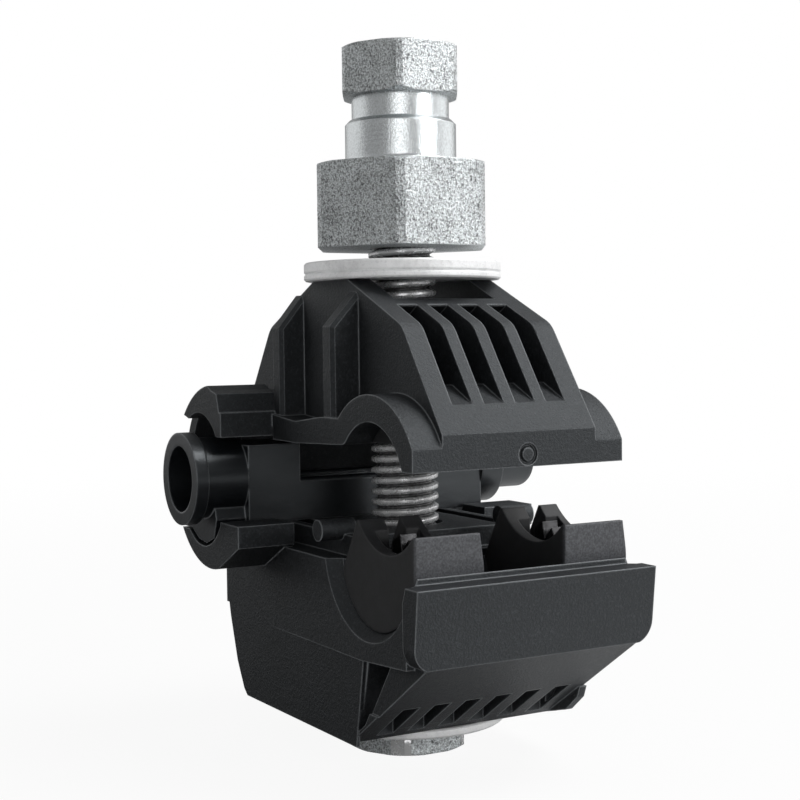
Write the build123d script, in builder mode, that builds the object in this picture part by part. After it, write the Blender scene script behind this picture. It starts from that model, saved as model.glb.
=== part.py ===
from build123d import *
import os
from math import cos, pi, radians, sin, sqrt

os.makedirs("parts", exist_ok=True)

# An insulation piercing connector with its jaws open, in millimetres.
# X runs along both conductors, Y from the main conductor to the tap, Z up the bolt.
# The origin is on the main conductor's axis, half way along the connector.

# Bolt, nut and washers
bolt_y = 16.0
bolt_radius = 3.95
bolt_top_z = 37.0
bolt_tip_chamfer = 0.9
bolt_head_flats = 13.0
bolt_head_height = 3.1
thread_clearance = 0.05
bolt_hole_clearance = 0.45
washer_hole_clearance = 0.3
head_washer_thickness = 1.0
head_washer_radius = 11.5
load_washer_thickness = 1.3
under_washer_thickness = 0.8
washer_radius = 11.45
washer_edge_chamfer = 0.2
nut_gap = 1.6
nut_bore_depth = 16.5
lock_hex_flats = 19.0
lock_hex_height = 9.65
nut_collar_radius = 6.45
nut_collar_height = 5.1
nut_collar_flare = 0.7
nut_collar_chamfer = 0.5
shear_neck_radius = 5.65
shear_neck_height = 2.65
drive_hex_flats = 13.1
drive_hex_height = 5.7
hex_edge_share = 0.973
hex_corner_drop = 0.36

# Upper body
upper_half_length = 13.0
eave_reach = 24.35
crease_z = 6.9
lip_z = 3.2
roof_half_length = 9.5
knee_reach = 16.4
knee_z = 18.0
knee_round = 3.5
ridge_reach = 4.2
ridge_z = 23.3
saddle_half_length = 6.5
saddle_reach = 9.6
saddle_z = 20.2
arch_y = 0.6
arch_z = 0.65
arch_radius = 7.3
arch_wall = 2.9
arch_round = 1.6
flange_front_z = 5.45
flange_fold_z = 4.8
flange_back_z = 4.95
flange_top_front_z = 8.05
flange_top_fold_z = 7.3
flange_shoulder_y = 11.9
flange_fold_y = 18.4
slot_count = 4
slot_pitch = 3.86
slot_width = 2.45
slot_top_reach = 11.1
slot_top_z = 20.1
slot_back_reach = 7.7
slot_roof_wall = 1.9
slot_floor_z = 11.6
slot_floor_reach = 18.4
slot_bottom_reach = 22.4
slot_bottom_z = 9.7
front_rib_y = 10.35
front_rib_length = 12.9
back_rib_y = 24.1
back_rib_length = 12.6
rib_width = 2.5
rib_foot_z = 7.2
rib_shoulder_z = 18.0
rib_head_z = 21.8
rib_edge_chamfer = 0.45
gate_x = 0.85
gate_z = 4.5
gate_ring_radius = 1.15
gate_ring_depth = 0.4
gate_dome_radius = 0.85
gate_dome_taper = 25.0

# Tap tunnel, sleeve and end cap
tap_y = 29.4
tap_z = 0.4
tap_bore_radius = 3.9
tunnel_radius = 7.75
tunnel_front_y = 24.4
hood_half_length = 19.6
hood_outer_y = 28.2
hood_radius = 10.3
hood_front_y = 24.6
hood_foot_z = 5.35
hood_step = (25.1, 8.25)
hood_block_top = (25.8, 10.4)
hood_notch = (27.3, 10.75)
hood_crown = (28.5, 11.3)
hood_outer_mid = (33.2, 9.75)
hood_tip = (36.0, 7.6)
hood_inner_end = (34.5, 7.2)
hood_inner_mid = (30.2, 7.95)
hood_inner_start = (26.0, 5.35)
hood_shell_half_length = 18.4
hood_shell_root = (34.2, 8.2)
hood_shell_outer_mid = (37.3, 5.7)
hood_shell_outer_end = (38.0, 3.5)
hood_shell_inner_end = (36.1, 3.5)
hood_shell_inner_mid = (35.6, 5.5)
skirt_half_length = 12.9
skirt_clearance = 0.5
skirt_outer_y = 39.6
skirt_root = (35.2, 6.9)
skirt_bottom_z = -2.5
crown_front_y = 26.4
cradle_half_length = 20.0
cradle_front_y = 19.0
cradle_top_z = -4.4
cradle_front_bottom_z = -6.9
cradle_bottom = (25.0, -9.95)
cradle_outer_mid = (31.9, -9.2)
cradle_tip = (36.0, -6.1)
cradle_inner_start = (24.1, -4.8)
cradle_inner_bottom = (28.4, -7.6)
cradle_inner_end = (33.8, -6.1)
sleeve_half_length = 16.1
sleeve_front_y = 24.7
sleeve_back_y = 34.1
sleeve_top_z = 4.3
sleeve_bore_radius = 3.5
sleeve_window_half_length = 9.4
sleeve_window_z = -0.3
sleeve_bead_radius = 0.45
sleeve_bead_inset = 0.65
sleeve_slit_top_z = -1.05
sleeve_clearance = 0.4
tube_radius = 4.8
tube_length = 6.75
tube_rim_radius = 5.45
tube_rim_length = 1.55
cap_flange_radius = 5.2
cap_flange_length = 3.2
cap_nose_radius = 3.6
cap_nose_length = 6.4
cap_nose_round = 1.3

# Lower body
collar_half_length = 14.0
collar_bottom_z = -17.0
collar_top_z = -7.2
collar_corner_y = 23.0
lower_lip_overhang = 0.65
lower_lip_top = (-11.9, -7.85)
lower_lip_bottom = (-11.0, -16.0)
lower_lip_round = 2.5
lower_lip_round_reach = 3.5
deck_half_length = 11.2
deck_front_y = 7.6
deck_z = -4.9
base_end_lean = 0.5
base_front_top_y = 1.3
base_front_bottom_y = 3.4
base_bottom_z = -26.75
base_foot_y = 31.0
base_back_foot_y = 31.9
base_back_foot_rise = 0.75
base_back_low_y = 33.8
base_back_low_rise = 3.85
base_back_high_y = 35.7
base_back_high_rise = 9.15
base_back_y = 36.8
base_back_rise = 13.75
back_wall_z = -3.0
crease_foot_y = 31.7
crease_foot_rise = 0.85
crease_head_y = 26.5
crease_head_rise = 1.0
panel_end_step = 1.0
panel_top = (-10.45, -16.2)
panel_bottom_y = 4.9
panel_bottom_rise = 0.15
panel_foot_profile = ((-1.3, 4.15), (-0.8, 2.85), (1.5, 0.95), (4.9, 0.05))
panel_foot_step = 0.7
panel_foot_length = 2.3
recess_front_y = -3.4
recess_foot_y = 1.7
recess_foot_rise = 2.75
recess_bottom_y = 3.1
recess_bottom_rise = 1.75
recess_depth = 4.0
vent_count = 6
vent_width = 2.05
vent_top_y = -1.8
vent_bottom_y = 4.1
vent_top_depth = 0.6
vent_depth = 3.6
mouth_depth = 1.6
mouth_radius = 9.6
mouth_y = -0.25
mouth_z = -5.2
mouth_taper = 35.0
peg_y = 11.0
peg_z = -4.4
peg_radius = 1.2
peg_root = 1.5

# Main seals
seal_middle_x = 0.1
seal_inset = 2.15
seal_length = 8.2
seal_radius = 8.0
seal_near_y = -8.9
seal_near_top_z = -3.15
seal_centre_z = -5.75
seal_turn = 162.0
seal_far_top = (3.4, -2.5)
cradle_arc_y = -2.9
cradle_arc_z = 2.0
cradle_arc_radius = 7.5
seal_rim = 1.4
seal_pocket_far_y = 2.0
seal_pocket_depth = 1.6
seal_taper_z = -8.2
seal_taper = 1.1
upper_seal_inner_x = 3.4
upper_seal_outer_x = 9.6
upper_seal_z = 5.4

# Contact blades
blade_clearance = 0.06
tooth_height = 1.6
main_tooth_count = 4
main_tooth_half_angle = 32.0
tap_tooth_count = 3
tap_tooth_half_width = 3.0
lower_blade_thickness = 2.0
lower_main_tip_radius = 6.4
lower_blade_bottom_z = -11.4
lower_blade_bar_top_z = -6.2
lower_tap_tip_z = -3.0
upper_blade_x = 7.9
upper_blade_thickness = 1.8
upper_main_tip_z = 5.5
upper_main_half_width = 3.6
upper_blade_bar_bottom_z = 7.1
upper_blade_top_z = 9.4
upper_tap_tip_z = 4.0

# Places that follow from the sizes above
load_washer_z = ridge_z + under_washer_thickness
nut_z = load_washer_z + load_washer_thickness + nut_gap
nut_collar_z = nut_z + lock_hex_height
shear_neck_z = nut_collar_z + nut_collar_height
drive_hex_z = shear_neck_z + shear_neck_height
head_washer_z = base_bottom_z - head_washer_thickness
bolt_axis = Axis((0, bolt_y, 0), (0, 0, 1))
lip_front_y = bolt_y - eave_reach
tube_front_x = -sleeve_half_length - tube_length
lower_lip_half_length = collar_half_length + lower_lip_overhang
base_front_half_length = collar_half_length - base_end_lean
panel_half_length = collar_half_length - panel_end_step
panel_foot_half_length = collar_half_length - panel_foot_step
seal_pitch = 2 * (deck_half_length - seal_inset)
base_back_foot = (base_back_foot_y, base_bottom_z + base_back_foot_rise)
base_back_low = (base_back_low_y, base_bottom_z + base_back_low_rise)
base_back_high = (base_back_high_y, base_bottom_z + base_back_high_rise)
base_back_top = (base_back_y, base_bottom_z + base_back_rise)
crease_low = (crease_foot_y, base_bottom_z + crease_foot_rise)
crease_high = (crease_head_y, collar_bottom_z + crease_head_rise)
panel_bottom = (panel_bottom_y, base_bottom_z + panel_bottom_rise)
panel_foot = [(y, base_bottom_z + rise) for y, rise in panel_foot_profile]
recess_foot = (recess_foot_y, base_bottom_z + recess_foot_rise)
recess_bottom = (recess_bottom_y, base_bottom_z + recess_bottom_rise)
panel_slope = (panel_top[1] - panel_bottom[1]) / (panel_bottom[0] - panel_top[0])
seal_places = {"left": seal_middle_x - seal_pitch / 2, "right": seal_middle_x + seal_pitch / 2}
upper_places = {"left": -1, "right": 1}
far = 60.0
joining = 1.0
coincident = 0.01


def section(x=0.0):
    """The plane across the conductors at a place along them."""
    return Plane(origin=(x, 0, 0), x_dir=(0, 1, 0), z_dir=(1, 0, 0))


def lengthwise(y):
    """The upright plane along the conductors at a place across them."""
    return Plane.XZ.offset(-y)


def block(y_low, y_high, z_low, z_high, mode=Mode.ADD):
    """A rectangle by its sides in the sketch that is being drawn."""
    with Locations(((y_low + y_high) / 2, (z_low + z_high) / 2)):
        Rectangle(y_high - y_low, z_high - z_low, mode=mode)


def panel_z(y):
    """Height of the slanted panel at a place across the connector."""
    return panel_top[1] - (y - panel_top[0]) * panel_slope


def teeth(low, high, root, tip, count):
    """Points of a straight row of saw teeth."""
    step = (high - low) / count
    points = [(low, root)]
    for k in range(count):
        points += [(low + (k + 0.5) * step, tip), (low + (k + 1) * step, root)]
    return points


def bed_teeth():
    """Points of the saw teeth that follow the main conductor's bed."""
    points = []
    for k in range(2 * main_tooth_count + 1):
        angle = radians(-90 - main_tooth_half_angle + k * main_tooth_half_angle / main_tooth_count)
        radius = lower_main_tip_radius if k % 2 else lower_main_tip_radius + tooth_height
        points.append((cradle_arc_y + radius * cos(angle), cradle_arc_z + radius * sin(angle)))
    return points


def hexagon(flats, base_z, height, low_turned=True):
    """A hexagonal prism on the bolt with a corner towards X, its edges and ends turned down."""
    corner = flats / 2 / cos(pi / 6)
    edge = corner * hex_edge_share
    face = edge - hex_corner_drop * sqrt(3)
    with BuildPart() as prism:
        with BuildSketch(Plane.XY.offset(base_z)):
            with Locations((0, bolt_y)):
                RegularPolygon(corner, 6)
        extrude(amount=height)
        with BuildSketch(lengthwise(bolt_y)):
            Polygon(
                (0, base_z),
                (face if low_turned else edge, base_z),
                (edge, base_z + hex_corner_drop),
                (edge, base_z + height - hex_corner_drop),
                (face, base_z + height),
                (0, base_z + height),
            )
        revolve(axis=bolt_axis, mode=Mode.INTERSECT)
    return prism.part


def washer(base_z, thickness, radius):
    """A plain washer on the bolt."""
    with BuildPart() as ring:
        with BuildSketch(Plane.XY.offset(base_z)):
            with Locations((0, bolt_y)):
                Circle(radius)
                Circle(bolt_radius + washer_hole_clearance, mode=Mode.SUBTRACT)
        extrude(amount=thickness)
        rims = ring.edges().filter_by(GeomType.CIRCLE).filter_by(lambda e: e.radius > radius - coincident)
        chamfer(rims, washer_edge_chamfer)
    return ring.part


# Section of the main seal's foot, and of the trough that it sits in
with BuildSketch() as seal_foot:
    with BuildLine():
        turn = JernArc((seal_near_y, seal_centre_z), (0, -1), seal_radius, seal_turn)
        Polyline(turn @ 1, seal_far_top, (seal_near_y, seal_far_top[1]), turn @ 0)
    make_face()

# Faces of the two kinds of contact blade
with BuildSketch() as lower_blade_face:
    bed = bed_teeth()
    tap_low = tap_y - tap_tooth_half_width
    tap_high = tap_y + tap_tooth_half_width
    lower_tap_root_z = lower_tap_tip_z - tooth_height
    Polygon(
        (bed[0][0], lower_blade_bottom_z),
        *bed,
        (bed[-1][0], lower_blade_bar_top_z),
        (tap_low, lower_blade_bar_top_z),
        *teeth(tap_low, tap_high, lower_tap_root_z, lower_tap_tip_z, tap_tooth_count),
        (tap_high, lower_blade_bottom_z),
    )
with BuildSketch() as upper_blade_face:
    main_low = arch_y - upper_main_half_width
    main_high = arch_y + upper_main_half_width
    upper_main_root_z = upper_main_tip_z + tooth_height
    upper_tap_root_z = upper_tap_tip_z + tooth_height
    Polygon(
        (main_low, upper_blade_top_z),
        *teeth(main_low, main_high, upper_main_root_z, upper_main_tip_z, main_tooth_count),
        (main_high, upper_blade_bar_bottom_z),
        (tap_low, upper_blade_bar_bottom_z),
        *teeth(tap_low, tap_high, upper_tap_root_z, upper_tap_tip_z, tap_tooth_count),
        (tap_high, upper_blade_top_z),
    )

# Upper body: a ribbed roof on the flange that carries both arches
with BuildPart() as upper_body:
    with BuildSketch(section()):
        Polygon(
            (lip_front_y, crease_z),
            (bolt_y - knee_reach, knee_z),
            (bolt_y - ridge_reach, ridge_z),
            (bolt_y + ridge_reach, ridge_z),
            (bolt_y + knee_reach, knee_z),
            (bolt_y + eave_reach, crease_z),
            (bolt_y + eave_reach, flange_back_z),
            (flange_fold_y, flange_fold_z),
            (arch_y, flange_front_z),
            (arch_y, lip_z),
            (lip_front_y, lip_z),
        )
    extrude(amount=roof_half_length, both=True)
    knees = upper_body.edges().filter_by(Axis.X).filter_by(lambda e: abs(e.center().Z - knee_z) < coincident)
    fillet(knees, knee_round)

    # Flange with the arches over both conductors, longer than the roof
    with BuildSketch(section()):
        with Locations((arch_y, arch_z)):
            Circle(arch_radius + arch_wall)
        block(lip_front_y, flange_fold_y, flange_front_z, far, mode=Mode.INTERSECT)
        block(lip_front_y, arch_y, lip_z, flange_front_z)
        Polygon(
            (arch_y, flange_front_z),
            (flange_fold_y, flange_fold_z),
            (hood_outer_y, flange_back_z),
            (hood_outer_y, flange_top_front_z),
            (crown_front_y, flange_top_front_z),
            (flange_fold_y, flange_top_fold_z),
            (flange_shoulder_y, flange_top_front_z),
            (arch_y, flange_top_front_z),
        )
    extrude(amount=upper_half_length, both=True)
    with BuildSketch(section()):
        with Locations((hood_outer_y, tap_z)):
            Circle(hood_radius)
        block(crown_front_y, far, flange_back_z, far, mode=Mode.INTERSECT)
    extrude(amount=upper_half_length, both=True)

    # Room for the main conductor and its seals, and for the tap sleeve
    with BuildSketch(section()):
        with Locations((arch_y, arch_z)):
            Circle(arch_radius)
    extrude(amount=far, both=True, mode=Mode.SUBTRACT)
    with BuildSketch(section()):
        with Locations((tap_y, tap_z)):
            Circle(tunnel_radius)
        block(tunnel_front_y, far, -far, far, mode=Mode.INTERSECT)
    extrude(amount=far, both=True, mode=Mode.SUBTRACT)
    arch_corner = upper_body.edges().filter_by(Axis.X).filter_by(
        lambda e: arch_y < e.center().Y < flange_shoulder_y and flange_fold_z < e.center().Z < flange_front_z
    )
    fillet(arch_corner, arch_round)

    # Stepped hoods that reach out over the tap sleeve's ends
    for side in (-1, 1):
        with BuildSketch(section(side * (upper_half_length - joining))):
            with BuildLine():
                Polyline(
                    hood_crown,
                    hood_notch,
                    hood_block_top,
                    hood_step,
                    (hood_front_y, hood_step[1]),
                    (hood_front_y, hood_foot_z),
                    hood_inner_start,
                )
                ThreePointArc(hood_inner_start, hood_inner_mid, hood_inner_end)
                Line(hood_inner_end, hood_tip)
                ThreePointArc(hood_tip, hood_outer_mid, hood_crown)
            make_face()
        extrude(amount=side * (hood_half_length - upper_half_length + joining))
        with BuildSketch(section(side * (upper_half_length - joining))):
            with BuildLine():
                Polyline(hood_inner_end, hood_shell_root, hood_tip)
                ThreePointArc(hood_tip, hood_shell_outer_mid, hood_shell_outer_end)
                Line(hood_shell_outer_end, hood_shell_inner_end)
                ThreePointArc(hood_shell_inner_end, hood_shell_inner_mid, hood_inner_end)
            make_face()
        extrude(amount=side * (hood_shell_half_length - upper_half_length + joining))

    # Skirt behind the tap sleeve, which passes outside the lower body as the jaws close
    with BuildSketch(section()):
        skirt_y = base_back_y + skirt_clearance
        Polygon(
            (skirt_y, skirt_bottom_z),
            (skirt_outer_y, skirt_bottom_z),
            (skirt_outer_y, skirt_root[1]),
            skirt_root,
            (skirt_root[0] + joining, flange_back_z),
            (skirt_y, flange_back_z),
        )
    extrude(amount=skirt_half_length, both=True)

    # Ribs on both end walls, with sloping heads
    for y, reach in ((front_rib_y, front_rib_length), (back_rib_y, back_rib_length)):
        with BuildSketch(lengthwise(y)):
            for side in (-1, 1):
                Polygon(
                    (side * (roof_half_length - joining), rib_foot_z),
                    (side * reach, rib_foot_z),
                    (side * reach, rib_shoulder_z),
                    (side * roof_half_length, rib_head_z),
                    (side * (roof_half_length - joining), rib_head_z),
                )
        extrude(amount=rib_width / 2, both=True)
        outer = upper_body.edges().filter_by(
            lambda e: abs(e.center().X) > roof_half_length + rib_edge_chamfer
            and abs(abs(e.center().Y - y) - rib_width / 2) < coincident
            and e.center().Z > flange_top_front_z + joining
        )
        chamfer(outer, rib_edge_chamfer)

    # Deep slots through both slopes of the roof
    for side in (-1, 1):
        for k in range(slot_count):
            with BuildSketch(section((k - (slot_count - 1) / 2) * slot_pitch)):
                Polygon(
                    (bolt_y + side * slot_top_reach, slot_top_z),
                    (bolt_y + side * slot_back_reach, slot_top_z - slot_roof_wall),
                    (bolt_y + side * slot_back_reach, slot_floor_z),
                    (bolt_y + side * slot_floor_reach, slot_floor_z),
                    (bolt_y + side * slot_bottom_reach, slot_bottom_z),
                    (bolt_y + side * eave_reach, slot_bottom_z),
                    (bolt_y + side * eave_reach, ridge_z),
                    (bolt_y + side * slot_top_reach, ridge_z),
                )
            extrude(amount=slot_width / 2, both=True, mode=Mode.SUBTRACT)

    # Saddle under the washers, and the hole for the bolt
    with BuildSketch(Plane.XY.offset(saddle_z)):
        with Locations((0, bolt_y)):
            Rectangle(2 * saddle_half_length, 2 * saddle_reach)
    extrude(amount=ridge_z, mode=Mode.SUBTRACT)
    with BuildSketch():
        with Locations((0, bolt_y)):
            Circle(bolt_radius + bolt_hole_clearance)
    extrude(amount=far, mode=Mode.SUBTRACT)

    # Slits for the blades
    slit_length = tap_high - main_low + 2 * blade_clearance
    with BuildSketch():
        with Locations((0, (main_low + tap_high) / 2)):
            with GridLocations(2 * upper_blade_x, 1, 2, 1):
                Rectangle(upper_blade_thickness + 2 * blade_clearance, slit_length)
    extrude(amount=upper_blade_top_z, mode=Mode.SUBTRACT)

    # Moulding gate on the front lip: a low dome in a sunk ring
    with BuildSketch(lengthwise(lip_front_y)):
        with Locations((gate_x, gate_z)):
            Circle(gate_ring_radius)
    extrude(amount=-gate_ring_depth, mode=Mode.SUBTRACT)
    with BuildSketch(lengthwise(lip_front_y + gate_ring_depth)):
        with Locations((gate_x, gate_z)):
            Circle(gate_dome_radius)
    extrude(amount=gate_ring_depth, taper=gate_dome_taper)
upper_body.part.label = "upper_body"

# Lower body: a base whose ends lean inwards in front of a crease
with BuildPart() as lower_body:
    with BuildSketch(section()):
        Polygon(
            (base_front_top_y, collar_bottom_z + joining),
            (base_front_bottom_y, base_bottom_z),
            (base_foot_y, base_bottom_z),
            base_back_foot,
            base_back_low,
            base_back_high,
            base_back_top,
            (base_back_y, back_wall_z),
            (sleeve_back_y + sleeve_clearance, back_wall_z),
            (sleeve_back_y + sleeve_clearance, collar_bottom_z + joining),
        )
    extrude(amount=collar_half_length, both=True)
    for side in (-1, 1):
        low = Vector(side * collar_half_length, *crease_low)
        high = Vector(side * collar_half_length, *crease_high)
        front = Vector(side * base_front_half_length, base_front_bottom_y, base_bottom_z)
        inward = (high - low).cross(low - front) * side
        split(bisect_by=Plane(origin=low, x_dir=high - low, z_dir=inward), keep=Keep.TOP)

    # Collar round the main conductor, with a wider lip across its front
    with BuildSketch(section()):
        Polygon(
            (collar_corner_y, collar_bottom_z),
            (base_front_top_y, collar_bottom_z),
            panel_top,
            (seal_near_y, lower_lip_top[1]),
            (seal_near_y, collar_top_z),
            (base_back_y, collar_top_z),
            (base_back_y, crease_high[1]),
            crease_high,
        )
    extrude(amount=collar_half_length, both=True)
    with BuildSketch(section()):
        Polygon(
            lower_lip_top,
            lower_lip_bottom,
            panel_top,
            (seal_near_y, panel_top[1]),
            (seal_near_y, lower_lip_top[1]),
        )
    extrude(amount=lower_lip_half_length, both=True)
    round_x = lower_lip_half_length - lower_lip_round
    round_z = panel_top[1] + lower_lip_round
    for side in (-1, 1):
        with BuildSketch(lengthwise(lower_lip_top[0])):
            with Locations((side * (round_x + lower_lip_round), round_z - lower_lip_round)):
                Rectangle(2 * lower_lip_round, 2 * lower_lip_round)
            with Locations((side * round_x, round_z)):
                Circle(lower_lip_round, mode=Mode.SUBTRACT)
        extrude(amount=-lower_lip_round_reach, mode=Mode.SUBTRACT)

    # Deck that carries the bolt and the tap sleeve
    with BuildSketch(section()):
        block(deck_front_y, sleeve_back_y + sleeve_clearance, collar_top_z - joining, deck_z)
    extrude(amount=deck_half_length, both=True)

    # Cradles that reach out under the tap sleeve's ends
    for side in (-1, 1):
        with BuildSketch(section(side * (collar_half_length - joining))):
            with BuildLine():
                Polyline(
                    cradle_inner_start,
                    (cradle_inner_start[0], cradle_top_z),
                    (cradle_front_y, cradle_top_z),
                    (cradle_front_y, cradle_front_bottom_z),
                    cradle_bottom,
                )
                ThreePointArc(cradle_bottom, cradle_outer_mid, cradle_tip)
                Line(cradle_tip, cradle_inner_end)
                ThreePointArc(cradle_inner_end, cradle_inner_bottom, cradle_inner_start)
            make_face()
        extrude(amount=side * (cradle_half_length - collar_half_length + joining))

    # Slanted panel below the collar, with a recess open to each end behind it
    with BuildSketch(section()):
        Polygon(
            panel_top,
            panel_bottom,
            (base_front_bottom_y + joining, panel_bottom[1]),
            (base_front_bottom_y + joining, collar_bottom_z + joining),
            (panel_top[0] + joining, collar_bottom_z + joining),
        )
    extrude(amount=panel_half_length, both=True)
    for side in (-1, 1):
        with BuildSketch(section(side * panel_foot_half_length)):
            Polygon(*panel_foot, (panel_bottom_y, panel_foot[0][1]))
        extrude(amount=-side * panel_foot_length)
        with BuildSketch(section(side * (panel_half_length - recess_depth))):
            Polygon(
                (recess_front_y, collar_bottom_z),
                recess_foot,
                recess_bottom,
                (base_front_top_y, collar_bottom_z),
            )
        extrude(amount=side * far, mode=Mode.SUBTRACT)

    # Vents through the slanted panel
    for k in range(vent_count):
        with BuildSketch(section((k - (vent_count - 1) / 2) * slot_pitch)):
            Polygon(
                (vent_top_y, panel_z(vent_top_y)),
                (vent_top_y, panel_z(vent_top_y) + vent_top_depth),
                (vent_bottom_y, panel_z(vent_bottom_y) + vent_depth),
                (vent_bottom_y, panel_z(vent_bottom_y) - joining),
                (vent_top_y, panel_z(vent_top_y) - joining),
            )
        extrude(amount=vent_width / 2, both=True, mode=Mode.SUBTRACT)

    # Trough for the main seals, and its flared mouths
    with BuildSketch(section(-lower_lip_half_length)):
        add(seal_foot.sketch_local)
    extrude(amount=2 * lower_lip_half_length, mode=Mode.SUBTRACT)
    for side in (-1, 1):
        with BuildSketch(section(side * collar_half_length)):
            with Locations((mouth_y, mouth_z)):
                Circle(mouth_radius)
        extrude(amount=-side * mouth_depth, taper=mouth_taper, mode=Mode.SUBTRACT)
        with BuildSketch(section(side * collar_half_length)):
            with Locations((mouth_y, mouth_z)):
                Circle(mouth_radius)
        extrude(amount=side * far, mode=Mode.SUBTRACT)

    # Slits for the blades
    for x in seal_places.values():
        with BuildSketch(section(x)):
            block(bed[0][0] - blade_clearance, tap_high + blade_clearance, lower_blade_bottom_z, 0)
        extrude(amount=lower_blade_thickness / 2 + blade_clearance, both=True, mode=Mode.SUBTRACT)

    # Pegs on the deck's ends, and the hole for the bolt
    for side in (-1, 1):
        with BuildSketch(section(side * (deck_half_length - peg_root))):
            with Locations((peg_y, peg_z)):
                Circle(peg_radius)
        extrude(amount=side * (collar_half_length - deck_half_length + peg_root))
    with BuildSketch(Plane.XY.offset(base_bottom_z)):
        with Locations((0, bolt_y)):
            Circle(bolt_radius + bolt_hole_clearance)
    extrude(amount=far, mode=Mode.SUBTRACT)
lower_body.part.label = "lower_body"

# Bolt with a low hexagonal head
bolt_head = hexagon(bolt_head_flats, head_washer_z - bolt_head_height, bolt_head_height)
with BuildPart() as bolt:
    add(bolt_head)
    with BuildSketch(Plane.XY.offset(head_washer_z)):
        with Locations((0, bolt_y)):
            Circle(bolt_radius)
    extrude(amount=bolt_top_z - head_washer_z)
    chamfer(bolt.edges().sort_by(Axis.Z)[-1], bolt_tip_chamfer)
bolt.part.label = "bolt"

# Shear nut: the lower hexagon holds, the upper one twists off at the neck
lock_hex = hexagon(lock_hex_flats, nut_z, lock_hex_height, low_turned=False)
drive_hex = hexagon(drive_hex_flats, drive_hex_z, drive_hex_height)
with BuildPart() as shear_nut:
    with BuildSketch(lengthwise(bolt_y)):
        with BuildLine():
            flare = JernArc(
                (nut_collar_radius + nut_collar_flare, nut_collar_z), (-1, 0), nut_collar_flare, -90
            )
            Polyline(
                flare @ 1,
                (nut_collar_radius, shear_neck_z - nut_collar_chamfer),
                (nut_collar_radius - nut_collar_chamfer, shear_neck_z),
                (shear_neck_radius, shear_neck_z),
                (shear_neck_radius, drive_hex_z + joining),
                (0, drive_hex_z + joining),
                (0, nut_collar_z - joining),
                (nut_collar_radius, nut_collar_z - joining),
                (nut_collar_radius + nut_collar_flare, nut_collar_z),
            )
        make_face()
    revolve(axis=bolt_axis)
    add(lock_hex)
    add(drive_hex)
    with BuildSketch(Plane.XY.offset(nut_z)):
        with Locations((0, bolt_y)):
            Circle(bolt_radius + thread_clearance)
    extrude(amount=nut_bore_depth, mode=Mode.SUBTRACT)
shear_nut.part.label = "shear_nut"

# Washers under the nut and over the bolt's head
under_washer = washer(ridge_z, under_washer_thickness, washer_radius)
under_washer.label = "under_washer"
load_washer = washer(load_washer_z, load_washer_thickness, washer_radius)
load_washer.label = "load_washer"
head_washer = washer(head_washer_z, head_washer_thickness, head_washer_radius)
head_washer.label = "head_washer"

# Tap sleeve: a soft box with a tube in front and a window over the blades
with BuildPart() as tap_sleeve:
    with BuildSketch(section(-sleeve_half_length)):
        block(sleeve_front_y, sleeve_back_y, deck_z, sleeve_top_z)
    extrude(amount=2 * sleeve_half_length)
    with BuildSketch(section()):
        block(-far, far, sleeve_window_z, far)
    extrude(amount=sleeve_window_half_length, both=True, mode=Mode.SUBTRACT)
    with BuildSketch(section()):
        for y in (sleeve_front_y + sleeve_bead_inset, sleeve_back_y - sleeve_bead_inset):
            with Locations((y, sleeve_window_z)):
                Circle(sleeve_bead_radius)
    extrude(amount=sleeve_window_half_length, both=True)
    with BuildSketch(section(-sleeve_half_length)):
        with Locations((tap_y, tap_z)):
            Circle(tube_radius)
    extrude(amount=-tube_length)
    with BuildSketch(section(tube_front_x)):
        with Locations((tap_y, tap_z)):
            Circle(tube_rim_radius)
    extrude(amount=tube_rim_length)
    with BuildSketch(section(tube_front_x)):
        with Locations((tap_y, tap_z)):
            Circle(tap_bore_radius)
    extrude(amount=tube_length, mode=Mode.SUBTRACT)
    with BuildSketch(section(-sleeve_half_length)):
        with Locations((tap_y, tap_z)):
            Circle(sleeve_bore_radius)
    extrude(amount=2 * sleeve_half_length, mode=Mode.SUBTRACT)
    for x in seal_places.values():
        with BuildSketch(section(x)):
            block(tap_low - blade_clearance, tap_high + blade_clearance, deck_z, sleeve_slit_top_z)
        extrude(amount=lower_blade_thickness / 2 + blade_clearance, both=True, mode=Mode.SUBTRACT)
tap_sleeve.part.label = "tap_sleeve"

# End cap over the sleeve's far end
with BuildPart() as end_cap:
    with BuildSketch(section(sleeve_half_length)):
        with Locations((tap_y, tap_z)):
            Circle(cap_flange_radius)
    extrude(amount=cap_flange_length)
    with BuildSketch(section(sleeve_half_length + cap_flange_length)):
        with Locations((tap_y, tap_z)):
            Circle(cap_nose_radius)
    extrude(amount=cap_nose_length)
    fillet(end_cap.edges().sort_by(Axis.X)[-1], cap_nose_round)
end_cap.part.label = "end_cap"

pieces = [upper_body.part, lower_body.part, bolt.part, shear_nut.part]
pieces += [under_washer, load_washer, head_washer, tap_sleeve.part, end_cap.part]

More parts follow.
